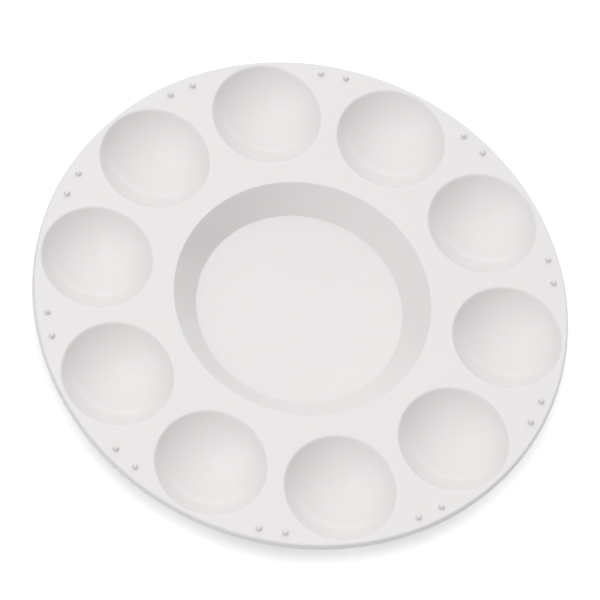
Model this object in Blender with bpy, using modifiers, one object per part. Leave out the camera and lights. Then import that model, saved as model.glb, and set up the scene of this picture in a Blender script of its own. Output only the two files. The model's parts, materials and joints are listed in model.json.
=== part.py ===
"""Round ten-well mixing palette: one thin moulding in white polystyrene.

A flat deck is dished into a conical mixing basin at its centre and ten bowl wells round it. The deck's outer
edge turns down into a short rim, and a pair of small stacking nubs stands on the deck between every two wells.

Frame: metres, +Z up. The origin is at the bottom centre, on the surface that the palette stands on.
The middle of one well lies on +Y.
"""

import math

import bpy

# Driving dimensions
RIM_RADIUS = 0.08575  # foot of the rim, the widest place: 171.5 mm across, a 6 3/4 inch palette
DECK_RADIUS = 0.08525  # where the deck's plane would meet the rim's outer face
RIM_DROP = 0.0022
WALL = 0.0012
WELL_COUNT = 10
WELL_RADIUS = 0.0178
WELL_PITCH_RADIUS = 0.06615
WELL_DEPTH = 0.0075
BASIN_RADIUS = 0.0412
BASIN_FLOOR_RADIUS = 0.0331
BASIN_DEPTH = 0.0079
NUB_RING_RADIUS = 0.08173
NUB_RADIUS = 0.00088
NUB_HEIGHT = 0.0014
NUB_HALF_SPREAD = math.radians(2.905)  # from the middle of a pair to one nub
NUB_SKEW = math.radians(0.872)  # how far each pair is turned from the middle between its wells

# Rounding of the edges
RIM_ROUND = 0.0008
RIM_FOOT_ROUND = 0.0003
BASIN_ROUND = 0.0005
WELL_LIP_ROUND = 0.0013
NUB_FOOT_FLARE = 0.0004
LIP_CROSSING = math.radians(10)  # how steeply a lip's rounding leaves the deck, so that the cut has a clear edge

# Fineness of the turned shapes
TRAY_SEGMENTS = 80
WELL_SEGMENTS = 32
NUB_SEGMENTS = 8
BOWL_STEPS = 4
LIP_STEPS = 2
DOME_STEPS = 2
RIM_STEPS = 3
CORNER_STEPS = 1
UNDERSIDE_STEPS = 2

# Worked out from the driving dimensions
DECK_TOP = BASIN_DEPTH + WALL
WELL_ANGLE = 2 * math.pi / WELL_COUNT
CUTTER_RISE = 0.003  # how far the well cutters stand out of the deck
MERGE_DISTANCE = 0.00001

WHITE = (0.80, 0.79, 0.78, 1.0)
GLOSS_ROUGHNESS = 0.25


def clear_scene():
    for item in list(bpy.data.objects):
        bpy.data.objects.remove(item, do_unlink=True)


def new_collection(name):
    collection = bpy.data.collections.new(name)
    bpy.context.scene.collection.children.link(collection)
    return collection


def gloss_plastic(name, colour):
    material = bpy.data.materials.new(name)
    material.use_nodes = True
    shader = material.node_tree.nodes["Principled BSDF"]
    shader.inputs["Base Color"].default_value = colour
    shader.inputs["Roughness"].default_value = GLOSS_ROUGHNESS
    shader.inputs["Metallic"].default_value = 0.0
    return material


def arc(centre, radius, start, end, steps):
    """Points from angle start to angle end, both of them included. Angles are in radians from +X."""
    points = []
    for i in range(steps + 1):
        angle = start + (end - start) * i / steps
        points.append((centre[0] + radius * math.cos(angle), centre[1] + radius * math.sin(angle)))
    return points


def rounded(corners):
    """The outline through (x, z, radius, steps) corners, with each corner that has a radius made an arc."""
    points = []
    for i, (x, z, radius, steps) in enumerate(corners):
        if radius == 0:
            points.append((x, z))
            continue
        before = corners[i - 1]
        after = corners[i + 1]
        towards_before = math.atan2(before[1] - z, before[0] - x)
        towards_after = math.atan2(after[1] - z, after[0] - x)
        opening = (towards_after - towards_before + math.pi) % (2 * math.pi) - math.pi
        middle = towards_before + opening / 2
        reach = radius / math.sin(abs(opening) / 2)
        centre = (x + reach * math.cos(middle), z + reach * math.sin(middle))
        turn = math.copysign(math.pi - abs(opening), -opening)
        start = middle + math.pi - turn / 2
        points += arc(centre, radius, start, start + turn, steps)
    return points


def turned_mesh(name, profile):
    """An open profile in the XZ plane, from the axis round the outer side and back to the axis."""
    mesh = bpy.data.meshes.new(name)
    edges = [(i, i + 1) for i in range(len(profile) - 1)]
    mesh.from_pydata([(x, 0, z) for x, z in profile], edges, [])
    return mesh


def turned_object(name, mesh, segments, collection, place=(0, 0, 0)):
    item = bpy.data.objects.new(name, mesh)
    item.location = place
    collection.objects.link(item)
    screw = item.modifiers.new("turn", "SCREW")
    screw.axis = "Z"
    screw.steps = segments
    screw.render_steps = segments
    screw.use_merge_vertices = True
    screw.merge_threshold = MERGE_DISTANCE
    screw.use_smooth_shade = True
    return item


def tray_profile():
    """The section of deck, basin and rim: along the top from the axis, down the rim, and back underneath."""
    slope = math.atan2(BASIN_DEPTH, BASIN_RADIUS - BASIN_FLOOR_RADIUS)
    mitre = WALL * math.tan(slope / 2)
    deck_under = DECK_TOP - WALL
    rim_foot = DECK_TOP - RIM_DROP
    outside = BASIN_ROUND + WALL
    return rounded([
        (0, WALL, 0, 0),
        (BASIN_FLOOR_RADIUS, WALL, BASIN_ROUND, CORNER_STEPS),
        (BASIN_RADIUS, DECK_TOP, BASIN_ROUND, CORNER_STEPS),
        (DECK_RADIUS, DECK_TOP, RIM_ROUND, RIM_STEPS),
        (RIM_RADIUS, rim_foot, RIM_FOOT_ROUND, CORNER_STEPS),
        (RIM_RADIUS - WALL, rim_foot, RIM_FOOT_ROUND, CORNER_STEPS),
        (DECK_RADIUS - WALL, deck_under, 0, 0),
        (BASIN_RADIUS + mitre, deck_under, 0, 0),
        (BASIN_FLOOR_RADIUS + mitre, 0, outside, UNDERSIDE_STEPS),
        (0, 0, 0, 0),
    ])


def bowl_profile():
    """The outside of a well as a solid, from inside the deck's thickness down to the bottom of the bowl."""
    inner = (WELL_RADIUS**2 + WELL_DEPTH**2) / (2 * WELL_DEPTH)
    outer = inner + WALL
    centre_height = DECK_TOP + inner - WELL_DEPTH
    top = DECK_TOP - WALL / 2
    start = math.asin((top - centre_height) / outer)
    return [(0, top)] + arc((0, centre_height), outer, start, -math.pi / 2, BOWL_STEPS)


def cavity_profile():
    """The hollow of a well, with the rounding of its lip, standing out of the deck so that it cuts cleanly."""
    inner = (WELL_RADIUS**2 + WELL_DEPTH**2) / (2 * WELL_DEPTH)
    centre_height = DECK_TOP + inner - WELL_DEPTH
    lip_height = DECK_TOP - WELL_LIP_ROUND * math.cos(LIP_CROSSING)
    rise = centre_height - lip_height
    lip_x = math.sqrt((inner + WELL_LIP_ROUND) ** 2 - rise**2)
    lip_angle = math.asin(rise / (inner + WELL_LIP_ROUND))
    top = DECK_TOP + CUTTER_RISE
    lip = arc((lip_x, lip_height), WELL_LIP_ROUND, math.pi / 2, math.pi - lip_angle, LIP_STEPS)
    bowl = arc((0, centre_height), inner, -lip_angle, -math.pi / 2, BOWL_STEPS)
    return [(0, top), (lip_x, top)] + lip + bowl[1:]


def nub_profile():
    """A short peg with a round top and a flared foot that is sunk into the deck."""
    dome = arc((0, DECK_TOP + NUB_HEIGHT - NUB_RADIUS), NUB_RADIUS, math.pi / 2, 0, DOME_STEPS)
    sunk = WALL / 2
    return dome + [
        (NUB_RADIUS, DECK_TOP + NUB_FOOT_FLARE),
        (NUB_RADIUS + NUB_FOOT_FLARE + sunk, DECK_TOP - sunk),
        (0, DECK_TOP - sunk),
    ]


def round_place(radius, angle):
    return (radius * math.cos(angle), radius * math.sin(angle), 0)


def well_places():
    return [round_place(WELL_PITCH_RADIUS, math.pi / 2 + i * WELL_ANGLE) for i in range(WELL_COUNT)]


def nub_places():
    places = []
    for i in range(WELL_COUNT):
        middle = math.pi / 2 + (i + 0.5) * WELL_ANGLE + NUB_SKEW
        for side in (-1, 1):
            places.append(round_place(NUB_RING_RADIUS, middle + side * NUB_HALF_SPREAD))
    return places


def helpers(name, profile, segments, places, parent):
    """One helper object at each place, sharing one mesh, in a collection of their own for a Boolean."""
    group = bpy.data.collections.new(name + "_group")
    parent.children.link(group)
    mesh = turned_mesh(name, profile)
    for i, place in enumerate(places):
        helper = turned_object(f"{name}_{i + 1:02d}", mesh, segments, group, place)
        helper.hide_render = True
        helper.display_type = "WIRE"
    return group


def combine(item, operation, group):
    boolean = item.modifiers.new(group.name, "BOOLEAN")
    boolean.operation = operation
    boolean.operand_type = "COLLECTION"
    boolean.collection = group
    boolean.solver = "EXACT"


def main():
    clear_scene()
    parts = new_collection("mixing_palette")
    cutters = new_collection("mixing_palette_cutters")

    tray_mesh = turned_mesh("palette_tray", tray_profile())
    tray = turned_object("palette_tray", tray_mesh, TRAY_SEGMENTS, parts)
    tray.data.materials.append(gloss_plastic("white_polystyrene", WHITE))

    bowls = helpers("well_bowl", bowl_profile(), WELL_SEGMENTS, well_places(), cutters)
    nubs = helpers("stacking_nub", nub_profile(), NUB_SEGMENTS, nub_places(), cutters)
    cavities = helpers("well_cavity", cavity_profile(), WELL_SEGMENTS, well_places(), cutters)
    combine(tray, "UNION", bowls)
    combine(tray, "UNION", nubs)
    combine(tray, "DIFFERENCE", cavities)


main()
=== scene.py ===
"""The looks of the round mixing palette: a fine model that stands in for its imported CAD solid.

The palette is one thin moulding in glossy white polystyrene: a flat deck, a conical basin with a flat floor,
ten bowl wells with soft lips, a turned-down rim and ten pairs of stacking nubs. Everything is in metres, in
the frame of the CAD model, with +Z up.
"""

import json
import math

import bmesh
import bpy
import numpy as np
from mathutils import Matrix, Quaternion, Vector

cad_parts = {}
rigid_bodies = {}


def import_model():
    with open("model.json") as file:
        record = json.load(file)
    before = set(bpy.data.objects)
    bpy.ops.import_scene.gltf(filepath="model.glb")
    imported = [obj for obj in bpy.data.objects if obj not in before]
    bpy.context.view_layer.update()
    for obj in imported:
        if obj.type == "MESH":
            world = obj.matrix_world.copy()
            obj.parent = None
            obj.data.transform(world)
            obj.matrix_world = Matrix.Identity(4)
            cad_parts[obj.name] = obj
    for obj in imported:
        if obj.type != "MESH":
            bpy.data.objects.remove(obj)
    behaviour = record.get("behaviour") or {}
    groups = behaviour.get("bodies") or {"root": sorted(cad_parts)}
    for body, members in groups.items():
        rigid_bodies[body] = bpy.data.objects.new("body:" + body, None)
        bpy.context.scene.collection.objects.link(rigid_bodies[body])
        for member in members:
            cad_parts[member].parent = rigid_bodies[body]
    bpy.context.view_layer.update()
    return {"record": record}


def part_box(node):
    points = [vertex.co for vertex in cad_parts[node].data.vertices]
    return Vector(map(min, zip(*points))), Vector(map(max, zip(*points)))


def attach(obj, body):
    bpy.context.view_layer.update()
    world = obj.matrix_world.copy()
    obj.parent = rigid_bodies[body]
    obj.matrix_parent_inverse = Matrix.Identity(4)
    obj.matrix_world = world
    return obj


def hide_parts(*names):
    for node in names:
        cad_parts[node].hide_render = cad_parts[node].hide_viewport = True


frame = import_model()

# Driving dimensions, the same as those of the CAD model
RIM_RADIUS = 0.08575
DECK_RADIUS = 0.08525
RIM_DROP = 0.0022
WALL = 0.0012
WELL_RADIUS = 0.0178
WELL_DEPTH = 0.0075
BASIN_RADIUS = 0.0412
BASIN_FLOOR_RADIUS = 0.0331
BASIN_DEPTH = 0.0079
NUB_RING_RADIUS = 0.08173
NUB_RADIUS = 0.00088
NUB_HEIGHT = 0.0014
NUB_HALF_SPREAD = math.radians(2.905)  # from the middle of a pair to one nub
NUB_SKEW = math.radians(0.872)  # how far each pair is turned from the middle between its wells

# Rounding of the edges
RIM_ROUND = 0.0008
RIM_FOOT_ROUND = 0.0003
RIM_INNER_ROUND = 0.0003
BASIN_ROUND = 0.0005
WELL_LIP_ROUND = 0.0013
WELL_UNDERSIDE_ROUND = 0.0008
NUB_FOOT_ROUND = 0.0004
LIP_STANDS_PROUD = 0.000002  # what a round goes past the plane it meets, so that the Boolean has a clear cut
EDGE_GUARD = 0.00012  # a narrow ring beside each round, which keeps its shading off the flat beside it

# Fineness of the turned shapes and of the mesh work
TRAY_SEGMENTS = 360
WELL_SEGMENTS = 144
NUB_SEGMENTS = 32
BOWL_STEPS = 24
LIP_STEPS = 8
DOME_STEPS = 8
RIM_STEPS = 10
CORNER_STEPS = 6
MERGE_DISTANCE = 0.000001
SHARP_ANGLE = math.radians(30)
CUTTER_RISE = 0.003  # how far the well cutters stand out of the deck

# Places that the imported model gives
DECK_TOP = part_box("palette_tray")[1].z - NUB_HEIGHT
DECK_UNDER = DECK_TOP - WALL
OPENINGS = {opening["name"]: opening["box_m"] for opening in frame["record"]["physics"]["openings"]}

# The plastic. A scale says how many cells of noise there are in a metre, and a height is that of a bump.
TINT_SCALE = 34
TINTS = ((0.716, 0.700, 0.694, 1), (0.730, 0.715, 0.709, 1))
SPECK_SCALE = 110
SPECK_FADE = (0.018, 0.040)  # from its middle to where it starts and ends fading, in parts of a cell
SPECKLESS = 0.92  # the share of cells with no speck
SPECK_COLOUR = (0.42, 0.40, 0.39, 1)
SPECK_STRENGTH = 0.45
HAZE_SCALE = 60
HAZE_RANGE = (0.3, 0.7)  # the stretch of noise over which the roughness goes from its least to its most
HAZE_ROUGHNESS = (0.12, 0.16)
# Each kind of stroke: its direction in degrees, the scale along it, and the scale of the patches it comes in
RUBBING = [
    (12, 30, 43.2),
    (75, 38, 49.5),
    (139, 26, 55.9),
]
STROKE_SCALE = 2600  # across the strokes
STROKE_RANGE = (0.66, 0.74)
PATCH_RANGE = (0.52, 0.68)
STROKE_ROUGHNESS = 0.05  # what a stroke adds to the roughness
STROKE_HEIGHT = 0.0000003
WAVE_SCALE = 46
WAVE_HEIGHT = 0.00009
RIPPLE_SCALE = 260
RIPPLE_HEIGHT = 0.000004
PLASTIC_IOR = 1.55

# The paper that the palette lies on
PAPER_SIZE = 6
PAPER_DROP = 0.0001  # keeps the paper just clear of the palette's underside
PAPER_COLOUR = (0.80, 0.80, 0.80, 1)
PAPER_ROUGHNESS = 0.9
PAPER_SPECULAR = 0.2
PAPER_GRAIN_SCALE = 900
PAPER_GRAIN_HEIGHT = 0.00001
PAPER_GLOW = 0.40  # for the camera alone, so the paper looks white and throws no extra light on the rim

# The camera: a long lens, looking down on the palette from one side and turned about its own axis
CAMERA_AZIMUTH = math.radians(8.233)
CAMERA_ELEVATION = math.radians(61.805)
CAMERA_ROLL = math.radians(19.738)
CAMERA_DISTANCE = 1.4219
CAMERA_AIM_RIGHT = -0.00105  # from the middle of the deck to the point aimed at, across the picture
CAMERA_AIM_UP = -0.00081
FOCAL_LENGTH = 270.36  # in millimetres, like the sensor's width
SENSOR_WIDTH = 36
CLIP_START = 0.05
CLIP_END = 10

# A light tent that glows on all sides. An azimuth of 0 here is behind the palette, as the camera sees it, and
# grows to the right.
TENT_GLOW = 0.65  # all round
CEILING_GLOW = 0.80  # what the ceiling adds straight overhead
CEILING_BRIGHT_SIDE = math.radians(300)
CEILING_LEAN = 0.8  # the share that its light gains towards the bright side, and loses away from it
SIDE_WALL_LOSS = 0.60  # how much dimmer the walls on the left and on the right are
# A brighter strip low behind the palette, near where the tent's back wall meets the floor
STRIP_GLOW = 0.8
STRIP_HEIGHT = 0.215  # how far up the direction to its middle goes
STRIP_FADE = (0.035, 0.085)  # from the middle, up and down, to where it starts and ends fading
STRIP_SIDES = (0.45, 0.85)  # how far behind a direction goes where the strip begins and where it is full
# One soft round lamp close by on the left
LAMP_AZIMUTH = math.radians(255)
LAMP_ELEVATION = math.radians(60)
LAMP_DISTANCE = 0.50
LAMP_WIDTH = 0.50
LAMP_POWER = 0.18


def arc(centre, radius, start, end, steps):
    """Points from angle start to angle end, both of them included. Angles are in radians from +X."""
    points = []
    for i in range(steps + 1):
        angle = start + (end - start) * i / steps
        points.append((centre[0] + radius * math.cos(angle), centre[1] + radius * math.sin(angle)))
    return points


def step_from(point, angle, distance):
    return (point[0] + distance * math.cos(angle), point[1] + distance * math.sin(angle))


def rounded(corners):
    """The outline through (x, z, radius, steps) corners.

    A corner that has a radius becomes an arc, with a guard point just before and just after it.
    """
    points = []
    for i, (x, z, radius, steps) in enumerate(corners):
        if radius == 0:
            points.append((x, z))
            continue
        before = corners[i - 1]
        after = corners[i + 1]
        towards_before = math.atan2(before[1] - z, before[0] - x)
        towards_after = math.atan2(after[1] - z, after[0] - x)
        opening = (towards_after - towards_before + math.pi) % (2 * math.pi) - math.pi
        middle = towards_before + opening / 2
        centre = step_from((x, z), middle, radius / math.sin(abs(opening) / 2))
        turn = math.copysign(math.pi - abs(opening), -opening)
        start = middle + math.pi - turn / 2
        curve = arc(centre, radius, start, start + turn, steps)
        points.append(step_from(curve[0], towards_before, EDGE_GUARD))
        points += curve
        points.append(step_from(curve[-1], towards_after, EDGE_GUARD))
    return points


def tray_profile():
    """The section of deck, basin and rim: along the top from the axis, down the rim, and back underneath."""
    slope = math.atan2(BASIN_DEPTH, BASIN_RADIUS - BASIN_FLOOR_RADIUS)
    mitre = WALL * math.tan(slope / 2)
    rim_foot = DECK_TOP - RIM_DROP
    return rounded([
        (0, WALL, 0, 0),
        (BASIN_FLOOR_RADIUS, WALL, BASIN_ROUND, CORNER_STEPS),
        (BASIN_RADIUS, DECK_TOP, BASIN_ROUND, CORNER_STEPS),
        (DECK_RADIUS, DECK_TOP, RIM_ROUND, RIM_STEPS),
        (RIM_RADIUS, rim_foot, RIM_FOOT_ROUND, CORNER_STEPS),
        (RIM_RADIUS - WALL, rim_foot, RIM_FOOT_ROUND, CORNER_STEPS),
        (DECK_RADIUS - WALL, DECK_UNDER, RIM_INNER_ROUND, CORNER_STEPS),
        (BASIN_RADIUS + mitre, DECK_UNDER, BASIN_ROUND, CORNER_STEPS),
        (BASIN_FLOOR_RADIUS + mitre, 0, BASIN_ROUND + WALL, CORNER_STEPS),
        (0, 0, 0, 0),
    ])


def bowl_sphere():
    """The radius of a well's inner face and the height of its centre."""
    radius = (WELL_RADIUS**2 + WELL_DEPTH**2) / (2 * WELL_DEPTH)
    return radius, DECK_TOP + radius - WELL_DEPTH


def flared_bowl(radius, centre_height, plane, lip_round, top):
    """A bowl's section, with a lip that runs out tangent to a plane and a flat lid at the height top."""
    lip_height = plane - lip_round + LIP_STANDS_PROUD
    rise = centre_height - lip_height
    lip_x = math.sqrt((radius + lip_round) ** 2 - rise**2)
    start = math.atan2(rise, lip_x)
    lip = arc((lip_x, lip_height), lip_round, math.pi / 2, math.pi - start, LIP_STEPS)
    bowl = arc((0, centre_height), radius, -start, -math.pi / 2, BOWL_STEPS)
    return [(0, top), (lip_x, top)] + lip + bowl[1:]


def well_cavity_profile():
    radius, centre_height = bowl_sphere()
    return flared_bowl(radius, centre_height, DECK_TOP, WELL_LIP_ROUND, DECK_TOP + CUTTER_RISE)


def well_bowl_profile():
    radius, centre_height = bowl_sphere()
    top = DECK_UNDER + WALL / 2
    return flared_bowl(radius + WALL, centre_height, DECK_UNDER, WELL_UNDERSIDE_ROUND, top)


def nub_profile():
    """A short peg with a round top and a foot that runs out tangent to the deck."""
    dome = arc((0, DECK_TOP + NUB_HEIGHT - NUB_RADIUS), NUB_RADIUS, math.pi / 2, 0, DOME_STEPS)
    reach = NUB_RADIUS + NUB_FOOT_ROUND
    foot_height = DECK_TOP + NUB_FOOT_ROUND - LIP_STANDS_PROUD
    foot = arc((reach, foot_height), NUB_FOOT_ROUND, math.pi, 1.5 * math.pi, LIP_STEPS)
    sunk = DECK_TOP - WALL / 2
    return dome + foot + [(reach, sunk), (0, sunk)]


def turned_mesh(name, profile, segments):
    """The closed mesh that a section in the XZ plane makes when it is turned about Z, facing outward."""
    outline = bpy.data.meshes.new(name)
    edges = [(i, i + 1) for i in range(len(profile) - 1)]
    outline.from_pydata([(x, 0, z) for x, z in profile], edges, [])
    item = bpy.data.objects.new(name, outline)
    bpy.context.scene.collection.objects.link(item)
    screw = item.modifiers.new("turn", "SCREW")
    screw.axis = "Z"
    screw.steps = segments
    screw.render_steps = segments
    screw.use_merge_vertices = True
    screw.merge_threshold = MERGE_DISTANCE
    depsgraph = bpy.context.evaluated_depsgraph_get()
    mesh = bpy.data.meshes.new_from_object(item.evaluated_get(depsgraph), depsgraph=depsgraph)
    bpy.data.objects.remove(item, do_unlink=True)
    cage = bmesh.new()
    cage.from_mesh(mesh)
    if cage.calc_volume(signed=True) < 0:
        bmesh.ops.reverse_faces(cage, faces=cage.faces)
    cage.to_mesh(mesh)
    cage.free()
    return mesh


def well_places():
    """The middle of each well: that of the deep opening that the record gives it."""
    places = []
    for name, (low, high) in sorted(OPENINGS.items()):
        if name.startswith("well") and name.endswith("deep"):
            places.append(((low[0] + high[0]) / 2, (low[1] + high[1]) / 2, 0))
    return places


def nub_places():
    """A pair of nubs on every bisector between two wells, all turned a little the same way."""
    wells = [math.atan2(y, x) for x, y, _ in well_places()]
    half_step = math.pi / len(wells)
    places = []
    for angle in wells:
        for side in (-1, 1):
            turn = angle + half_step + NUB_SKEW + side * NUB_HALF_SPREAD
            places.append((NUB_RING_RADIUS * math.cos(turn), NUB_RING_RADIUS * math.sin(turn), 0))
    return places


def combine(item, operation, name, mesh, places):
    """A Boolean with a copy of the mesh at each place. It hands back the copies, for clearing away later."""
    group = bpy.data.collections.new(name)
    bpy.context.scene.collection.children.link(group)
    for place in places:
        helper = bpy.data.objects.new(name, mesh)
        helper.location = place
        group.objects.link(helper)
    boolean = item.modifiers.new(name, "BOOLEAN")
    boolean.operation = operation
    boolean.operand_type = "COLLECTION"
    boolean.collection = group
    boolean.solver = "MANIFOLD"
    return group


def level_flats(mesh):
    """Smooth shading everywhere but at sharp edges, with the flat faces' normals kept exactly upright."""
    mesh.shade_smooth()
    mesh.set_sharp_from_angle(angle=SHARP_ANGLE)
    points = np.empty(len(mesh.vertices) * 3, np.float32)
    mesh.vertices.foreach_get("co", points)
    points = points.reshape(-1, 3)
    height = points[:, 2]
    in_basin = np.hypot(points[:, 0], points[:, 1]) < BASIN_FLOOR_RADIUS + WALL
    near = 2 * LIP_STANDS_PROUD
    normals = np.zeros_like(points)  # a zero leaves a point's own normal as it is
    normals[np.abs(height - DECK_TOP) < near] = (0, 0, 1)
    normals[np.abs(height - DECK_UNDER) < near] = (0, 0, -1)
    normals[(np.abs(height - WALL) < near) & in_basin] = (0, 0, 1)
    normals[(np.abs(height) < near) & in_basin] = (0, 0, -1)
    mesh.normals_split_custom_set_from_vertices([tuple(normal) for normal in normals.tolist()])


def palette_moulding():
    """The whole palette: a turned tray, joined with its bowls and nubs and hollowed by its wells."""
    draft = bpy.data.objects.new("draft", turned_mesh("tray", tray_profile(), TRAY_SEGMENTS))
    bpy.context.scene.collection.objects.link(draft)
    bowl = turned_mesh("well_bowl", well_bowl_profile(), WELL_SEGMENTS)
    nub = turned_mesh("stacking_nub", nub_profile(), NUB_SEGMENTS)
    cavity = turned_mesh("well_cavity", well_cavity_profile(), WELL_SEGMENTS)
    groups = [
        combine(draft, "UNION", "well_bowls", bowl, well_places()),
        combine(draft, "UNION", "stacking_nubs", nub, nub_places()),
        combine(draft, "DIFFERENCE", "well_cavities", cavity, well_places()),
    ]
    depsgraph = bpy.context.evaluated_depsgraph_get()
    mesh = bpy.data.meshes.new_from_object(draft.evaluated_get(depsgraph), depsgraph=depsgraph)
    mesh.name = "palette_moulding"
    for item in [draft] + [helper for group in groups for helper in group.objects]:
        bpy.data.objects.remove(item, do_unlink=True)
    for group in groups:
        bpy.data.collections.remove(group)
    level_flats(mesh)
    moulding = bpy.data.objects.new("palette_moulding", mesh)
    bpy.context.scene.collection.objects.link(moulding)
    return moulding


class Nodes:
    """Short calls for building the node tree of a material or a world."""

    def __init__(self, owner):
        self.owner = owner
        owner.use_nodes = True
        self.tree = owner.node_tree
        self.shader = self.tree.nodes.get("Principled BSDF")  # a world has none

    def add(self, kind, **settings):
        node = self.tree.nodes.new(kind)
        for name, value in settings.items():
            setattr(node, name, value)
        return node

    def link(self, source, target):
        self.tree.links.new(source, target)

    def noise(self, place, scale, detail, roughness=0.5):
        node = self.add("ShaderNodeTexNoise")
        node.inputs["Scale"].default_value = scale
        node.inputs["Detail"].default_value = detail
        node.inputs["Roughness"].default_value = roughness
        self.link(place, node.inputs["Vector"])
        return node.outputs["Fac"]

    def stretched(self, place, turn, along, across):
        """Coordinates turned about Z and stretched into long thin cells."""
        node = self.add("ShaderNodeMapping")
        node.inputs["Rotation"].default_value = (0, 0, math.radians(turn))
        node.inputs["Scale"].default_value = (along, across, across)
        self.link(place, node.inputs["Vector"])
        return node.outputs["Vector"]

    def remap(self, value, given, wanted):
        """The value moved from one range to another, and held to the ends of it."""
        node = self.add("ShaderNodeMapRange")
        node.inputs["From Min"].default_value = given[0]
        node.inputs["From Max"].default_value = given[1]
        node.inputs["To Min"].default_value = wanted[0]
        node.inputs["To Max"].default_value = wanted[1]
        self.link(value, node.inputs["Value"])
        return node.outputs["Result"]

    def math(self, operation, *values):
        node = self.add("ShaderNodeMath", operation=operation)
        for socket, value in zip(node.inputs, values):
            if isinstance(value, (int, float)):
                socket.default_value = value
            else:
                self.link(value, socket)
        return node.outputs["Value"]

    def along(self, direction, axis):
        """How far a direction goes along an axis."""
        node = self.add("ShaderNodeVectorMath", operation="DOT_PRODUCT")
        self.link(direction, node.inputs[0])
        node.inputs[1].default_value = axis
        return node.outputs["Value"]

    def bump(self, height, distance, below=None):
        node = self.add("ShaderNodeBump")
        node.inputs["Strength"].default_value = 1
        node.inputs["Distance"].default_value = distance
        self.link(height, node.inputs["Height"])
        if below is not None:
            self.link(below, node.inputs["Normal"])
        return node.outputs["Normal"]


def plastic_colour(n, place):
    """White with a slow, faint change of tint, and a small darker speck in a few of its cells."""
    tint = n.add("ShaderNodeMix", data_type="RGBA")
    tint.inputs["A"].default_value = TINTS[0]
    tint.inputs["B"].default_value = TINTS[1]
    n.link(n.noise(place, TINT_SCALE, detail=2), tint.inputs["Factor"])
    cells = n.add("ShaderNodeTexVoronoi")
    cells.inputs["Scale"].default_value = SPECK_SCALE
    n.link(place, cells.inputs["Vector"])
    speck = n.remap(cells.outputs["Distance"], SPECK_FADE, (1, 0))
    draw = n.add("ShaderNodeSeparateColor")
    n.link(cells.outputs["Color"], draw.inputs["Color"])
    chosen = n.math("GREATER_THAN", draw.outputs["Red"], SPECKLESS)
    speckled = n.add("ShaderNodeMix", data_type="RGBA")
    speckled.inputs["B"].default_value = SPECK_COLOUR
    n.link(n.math("MULTIPLY", n.math("MULTIPLY", speck, chosen), SPECK_STRENGTH), speckled.inputs["Factor"])
    n.link(tint.outputs["Result"], speckled.inputs["A"])
    return speckled.outputs["Result"]


def rub_marks(n, place):
    """Fine straight strokes in three directions, each kind in patches of its own."""
    rubbed = 0.0
    for turn, along, patch_scale in RUBBING:
        long_cells = n.stretched(place, turn, along, STROKE_SCALE)
        strokes = n.remap(n.noise(long_cells, 1, detail=2), STROKE_RANGE, (0, 1))
        patches = n.remap(n.noise(place, patch_scale, detail=1), PATCH_RANGE, (0, 1))
        rubbed = n.math("MAXIMUM", rubbed, n.math("MULTIPLY", strokes, patches))
    return rubbed


def white_polystyrene():
    """Glossy white polystyrene, a little uneven from cooling and faintly rubbed."""
    n = Nodes(bpy.data.materials.new("white_polystyrene"))
    place = n.add("ShaderNodeTexCoord").outputs["Object"]
    n.link(plastic_colour(n, place), n.shader.inputs["Base Color"])
    rubbed = rub_marks(n, place)
    haze = n.remap(n.noise(place, HAZE_SCALE, detail=4, roughness=0.6), HAZE_RANGE, HAZE_ROUGHNESS)
    n.link(n.math("ADD", haze, n.math("MULTIPLY", rubbed, STROKE_ROUGHNESS)), n.shader.inputs["Roughness"])
    waves = n.bump(n.noise(place, WAVE_SCALE, detail=1), WAVE_HEIGHT)
    ripple = n.bump(n.noise(place, RIPPLE_SCALE, detail=2), RIPPLE_HEIGHT, waves)
    n.link(n.bump(rubbed, STROKE_HEIGHT, ripple), n.shader.inputs["Normal"])
    n.shader.inputs["IOR"].default_value = PLASTIC_IOR
    return n.owner


def white_paper():
    """Matt white paper. Its glow is seen by the camera and lights nothing else."""
    n = Nodes(bpy.data.materials.new("white_paper"))
    place = n.add("ShaderNodeTexCoord").outputs["Object"]
    n.link(n.bump(n.noise(place, PAPER_GRAIN_SCALE, detail=3), PAPER_GRAIN_HEIGHT), n.shader.inputs["Normal"])
    n.shader.inputs["Base Color"].default_value = PAPER_COLOUR
    n.shader.inputs["Roughness"].default_value = PAPER_ROUGHNESS
    n.shader.inputs["Specular IOR Level"].default_value = PAPER_SPECULAR
    n.shader.inputs["Emission Color"].default_value = (PAPER_GLOW, PAPER_GLOW, PAPER_GLOW, 1)
    n.link(n.add("ShaderNodeLightPath").outputs["Is Camera Ray"], n.shader.inputs["Emission Strength"])
    return n.owner


def add_floor():
    bpy.ops.mesh.primitive_plane_add(size=PAPER_SIZE)
    floor = bpy.context.object
    floor.name = "floor"
    floor.location.z = -PAPER_DROP
    floor.data.materials.append(white_paper())


def from_camera_side(azimuth, elevation):
    """A direction as seen from the camera: azimuth 0 is behind the palette and grows to the right."""
    turn = azimuth - CAMERA_AZIMUTH
    flat = math.cos(elevation)
    return Vector((math.sin(turn) * flat, math.cos(turn) * flat, math.sin(elevation)))


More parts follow.
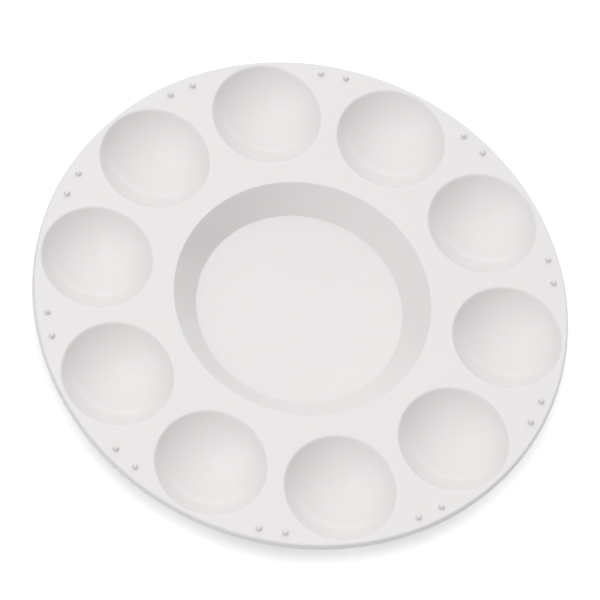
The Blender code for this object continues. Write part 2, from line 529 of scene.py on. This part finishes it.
def add_camera():
    """The camera looks along a line that passes just beside the middle of the deck."""
    back = from_camera_side(math.pi, CAMERA_ELEVATION)
    upright = (-back).to_track_quat("-Z", "Y")
    turned = upright @ Quaternion((0, 0, 1), CAMERA_ROLL)
    aim = Vector((0, 0, DECK_TOP)) + turned @ Vector((CAMERA_AIM_RIGHT, CAMERA_AIM_UP, 0))
    lens = bpy.data.cameras.new("camera")
    lens.lens = FOCAL_LENGTH
    lens.sensor_width = SENSOR_WIDTH
    lens.clip_start = CLIP_START
    lens.clip_end = CLIP_END
    camera = bpy.data.objects.new("camera", lens)
    camera.rotation_mode = "QUATERNION"
    camera.rotation_quaternion = turned
    camera.location = aim + back * CAMERA_DISTANCE
    bpy.context.scene.collection.objects.link(camera)
    bpy.context.scene.camera = camera


def add_light_tent():
    """Soft studio light from all round: a ceiling, dim side walls and a bright strip low at the back."""
    n = Nodes(bpy.data.worlds.new("light_tent"))
    direction = n.add("ShaderNodeTexCoord").outputs["Generated"]
    up = n.along(direction, Vector((0, 0, 1)))
    behind = n.along(direction, from_camera_side(0, 0))
    sideways = n.along(direction, from_camera_side(math.pi / 2, 0))
    brightward = n.along(direction, from_camera_side(CEILING_BRIGHT_SIDE, 0))
    lean = n.math("ADD", n.math("MULTIPLY", brightward, CEILING_LEAN), 1)
    ceiling = n.math("MULTIPLY", n.math("MULTIPLY", up, lean), CEILING_GLOW)
    loss = n.math("MULTIPLY", n.math("MULTIPLY", sideways, sideways), SIDE_WALL_LOSS)
    glow = n.math("SUBTRACT", n.math("ADD", ceiling, TENT_GLOW), loss)
    off_middle = n.math("ABSOLUTE", n.math("SUBTRACT", up, STRIP_HEIGHT))
    strip = n.remap(off_middle, STRIP_FADE, (STRIP_GLOW, 0))
    strip_width = n.remap(behind, STRIP_SIDES, (0, 1))
    glow = n.math("ADD", glow, n.math("MULTIPLY", strip, strip_width))
    background = n.tree.nodes["Background"]
    background.inputs["Color"].default_value = (1, 1, 1, 1)
    n.link(n.math("MAXIMUM", glow, 0.0), background.inputs["Strength"])
    bpy.context.scene.world = n.owner


def add_soft_lamp():
    """One weak round lamp that points at the palette."""
    direction = from_camera_side(LAMP_AZIMUTH, LAMP_ELEVATION)
    light = bpy.data.lights.new("soft_lamp", "AREA")
    light.shape = "DISK"
    light.size = LAMP_WIDTH
    light.energy = LAMP_POWER
    lamp = bpy.data.objects.new("soft_lamp", light)
    lamp.location = direction * LAMP_DISTANCE
    lamp.rotation_mode = "QUATERNION"
    lamp.rotation_quaternion = (-direction).to_track_quat("-Z", "Y")
    bpy.context.scene.collection.objects.link(lamp)


moulding = palette_moulding()
moulding.data.materials.clear()
moulding.data.materials.append(white_polystyrene())
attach(moulding, "root")
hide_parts("palette_tray")

add_floor()
add_light_tent()
add_soft_lamp()
add_camera()
bpy.context.scene.view_settings.view_transform = "Standard"
